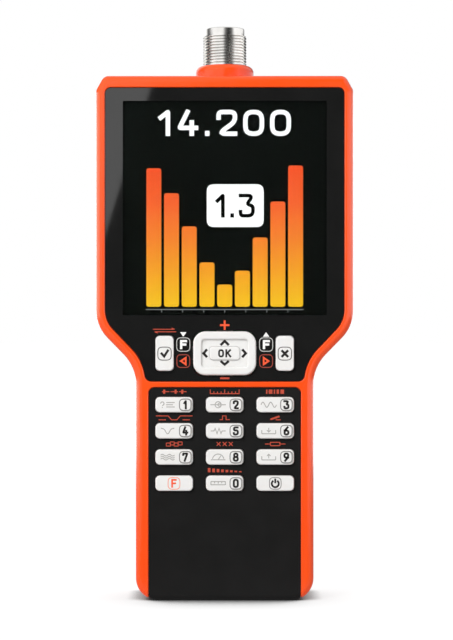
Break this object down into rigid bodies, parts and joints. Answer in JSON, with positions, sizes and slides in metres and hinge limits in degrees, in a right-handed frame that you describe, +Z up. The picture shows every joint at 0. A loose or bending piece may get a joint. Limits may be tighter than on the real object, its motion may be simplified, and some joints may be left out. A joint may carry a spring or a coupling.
{
  "type": "antenna analyzer",
  "caption": "Hand-held antenna analyzer: a wide head with a display, a narrower grip with a keypad and a navigation pad, and a threaded coaxial socket on top.",
  "frame": {"origin": "under the middle of the body, on the surface that it stands on", "axes": "+Z up to the coaxial socket, the display and the keys face -Y, +X to the right seen from the front"},
  "size_m": [0.093, 0.034, 0.2084],
  "materials": {
    "case_orange": "fine satin texture",
    "face_black": "smooth satin film",
    "window_clear": "clear, anti-glare",
    "seal_rubber": "matte",
    "frame_black": "moulded",
    "lcd_glass": "polished glass with a lit picture",
    "ribbon_amber": "polyimide film",
    "board_green": "solder mask",
    "can_tin": "tinned",
    "chip_black": "moulded epoxy",
    "dome_steel": "nickel plated",
    "mat_silicone": "matte",
    "screw_steel": "black zinc",
    "insert_brass": "knurled",
    "socket_nickel": "bright nickel",
    "socket_ptfe": "turned PTFE",
    "contact_gold": "gold plated",
    "tray_black": "fine texture",
    "cell_jacket": "printed film",
    "key_white": "soft matte"
  },
  "bodies": {
    "case": {"battery_cells": "cell_jacket", "battery_contacts": "dome_steel", "battery_springs": "dome_steel", "battery_tray": "tray_black", "board_chips": "chip_black", "board_screws": "screw_steel", "buzzer": "frame_black", "case_gasket": "seal_rubber", "case_screws": "screw_steel", "display_window": "window_clear", "front_shell": "case_orange", "keypad_mat": "mat_silicone", "lcd_frame": "frame_black", "lcd_gasket": "seal_rubber", "lcd_glass": "lcd_glass", "lcd_ribbon": "ribbon_amber", "lower_face_panel": "face_black", "main_board": "board_green", "rear_shell": "case_orange", "rf_center_contact": "contact_gold", "rf_connector_shell": "socket_nickel", "rf_insulator": "socket_ptfe", "rf_lead": "insert_brass", "rf_shield_can": "can_tin", "ribbon_connector": "frame_black", "snap_domes": "dome_steel", "threaded_inserts": "insert_brass", "upper_face_panel": "face_black", "usb_receptacle": "can_tin"},
    "battery_door": {"battery_door": "tray_black", "battery_door_catch": "tray_black"},
    "nav_rubber_boss": {"nav_rubber_boss": "mat_silicone"},
    "nav_rocker": {"nav_rocker": "key_white"},
    "ok_button": {"ok_button": "key_white"},
    "key_0": {"key_0": "key_white"},
    "key_1": {"key_1": "key_white"},
    "key_2": {"key_2": "key_white"},
    "key_3": {"key_3": "key_white"},
    "key_4": {"key_4": "key_white"},
    "key_5": {"key_5": "key_white"},
    "key_6": {"key_6": "key_white"},
    "key_7": {"key_7": "key_white"},
    "key_8": {"key_8": "key_white"},
    "key_9": {"key_9": "key_white"},
    "key_function": {"key_function": "key_white"},
    "key_power": {"key_power": "key_white"},
    "key_confirm": {"key_confirm": "key_white"},
    "key_cancel": {"key_cancel": "key_white"}
  },
  "joints": [
    {"name": "key_0_press", "type": "slide", "parent": "case", "child": "key_0", "axis": [0, 1, 0], "range_m": [0, 0.0008], "stiffness_N_per_m": 1500},
    {"name": "key_1_press", "type": "slide", "parent": "case", "child": "key_1", "axis": [0, 1, 0], "range_m": [0, 0.0008], "stiffness_N_per_m": 1500},
    {"name": "key_2_press", "type": "slide", "parent": "case", "child": "key_2", "axis": [0, 1, 0], "range_m": [0, 0.0008], "stiffness_N_per_m": 1500},
    {"name": "key_3_press", "type": "slide", "parent": "case", "child": "key_3", "axis": [0, 1, 0], "range_m": [0, 0.0008], "stiffness_N_per_m": 1500},
    {"name": "key_4_press", "type": "slide", "parent": "case", "child": "key_4", "axis": [0, 1, 0], "range_m": [0, 0.0008], "stiffness_N_per_m": 1500},
    {"name": "key_5_press", "type": "slide", "parent": "case", "child": "key_5", "axis": [0, 1, 0], "range_m": [0, 0.0008], "stiffness_N_per_m": 1500},
    {"name": "key_6_press", "type": "slide", "parent": "case", "child": "key_6", "axis": [0, 1, 0], "range_m": [0, 0.0008], "stiffness_N_per_m": 1500},
    {"name": "key_7_press", "type": "slide", "parent": "case", "child": "key_7", "axis": [0, 1, 0], "range_m": [0, 0.0008], "stiffness_N_per_m": 1500},
    {"name": "key_8_press", "type": "slide", "parent": "case", "child": "key_8", "axis": [0, 1, 0], "range_m": [0, 0.0008], "stiffness_N_per_m": 1500},
    {"name": "key_9_press", "type": "slide", "parent": "case", "child": "key_9", "axis": [0, 1, 0], "range_m": [0, 0.0008], "stiffness_N_per_m": 1500},
    {"name": "key_function_press", "type": "slide", "parent": "case", "child": "key_function", "axis": [0, 1, 0], "range_m": [0, 0.0008], "stiffness_N_per_m": 1500},
    {"name": "key_power_press", "type": "slide", "parent": "case", "child": "key_power", "axis": [0, 1, 0], "range_m": [0, 0.0008], "stiffness_N_per_m": 1500},
    {"name": "key_confirm_press", "type": "slide", "parent": "case", "child": "key_confirm", "axis": [0, 1, 0], "range_m": [0, 0.0008], "stiffness_N_per_m": 1500},
    {"name": "key_cancel_press", "type": "slide", "parent": "case", "child": "key_cancel", "axis": [0, 1, 0], "range_m": [0, 0.0008], "stiffness_N_per_m": 1500},
    {"name": "nav_tilt_up_down", "type": "hinge", "parent": "case", "child": "nav_rubber_boss", "pos_m": [0, -0.0135, 0.0892], "axis": [1, 0, 0], "range_deg": [-4, 4], "stiffness_Nm_per_rad": 0.25},
    {"name": "nav_tilt_left_right", "type": "hinge", "parent": "nav_rubber_boss", "child": "nav_rocker", "pos_m": [0, -0.0135, 0.0892], "axis": [0, 0, 1], "range_deg": [-3, 3], "stiffness_Nm_per_rad": 0.3},
    {"name": "ok_button_press", "type": "slide", "parent": "nav_rocker", "child": "ok_button", "axis": [0, 1, 0], "range_m": [0, 0.0005], "stiffness_N_per_m": 1500},
    {"name": "battery_door_hinge", "type": "hinge", "parent": "case", "child": "battery_door", "pos_m": [0, 0.017, 0.016], "axis": [-1, 0, 0], "range_deg": [0, 75], "deforming": ["battery_door_catch"]}
  ]
}
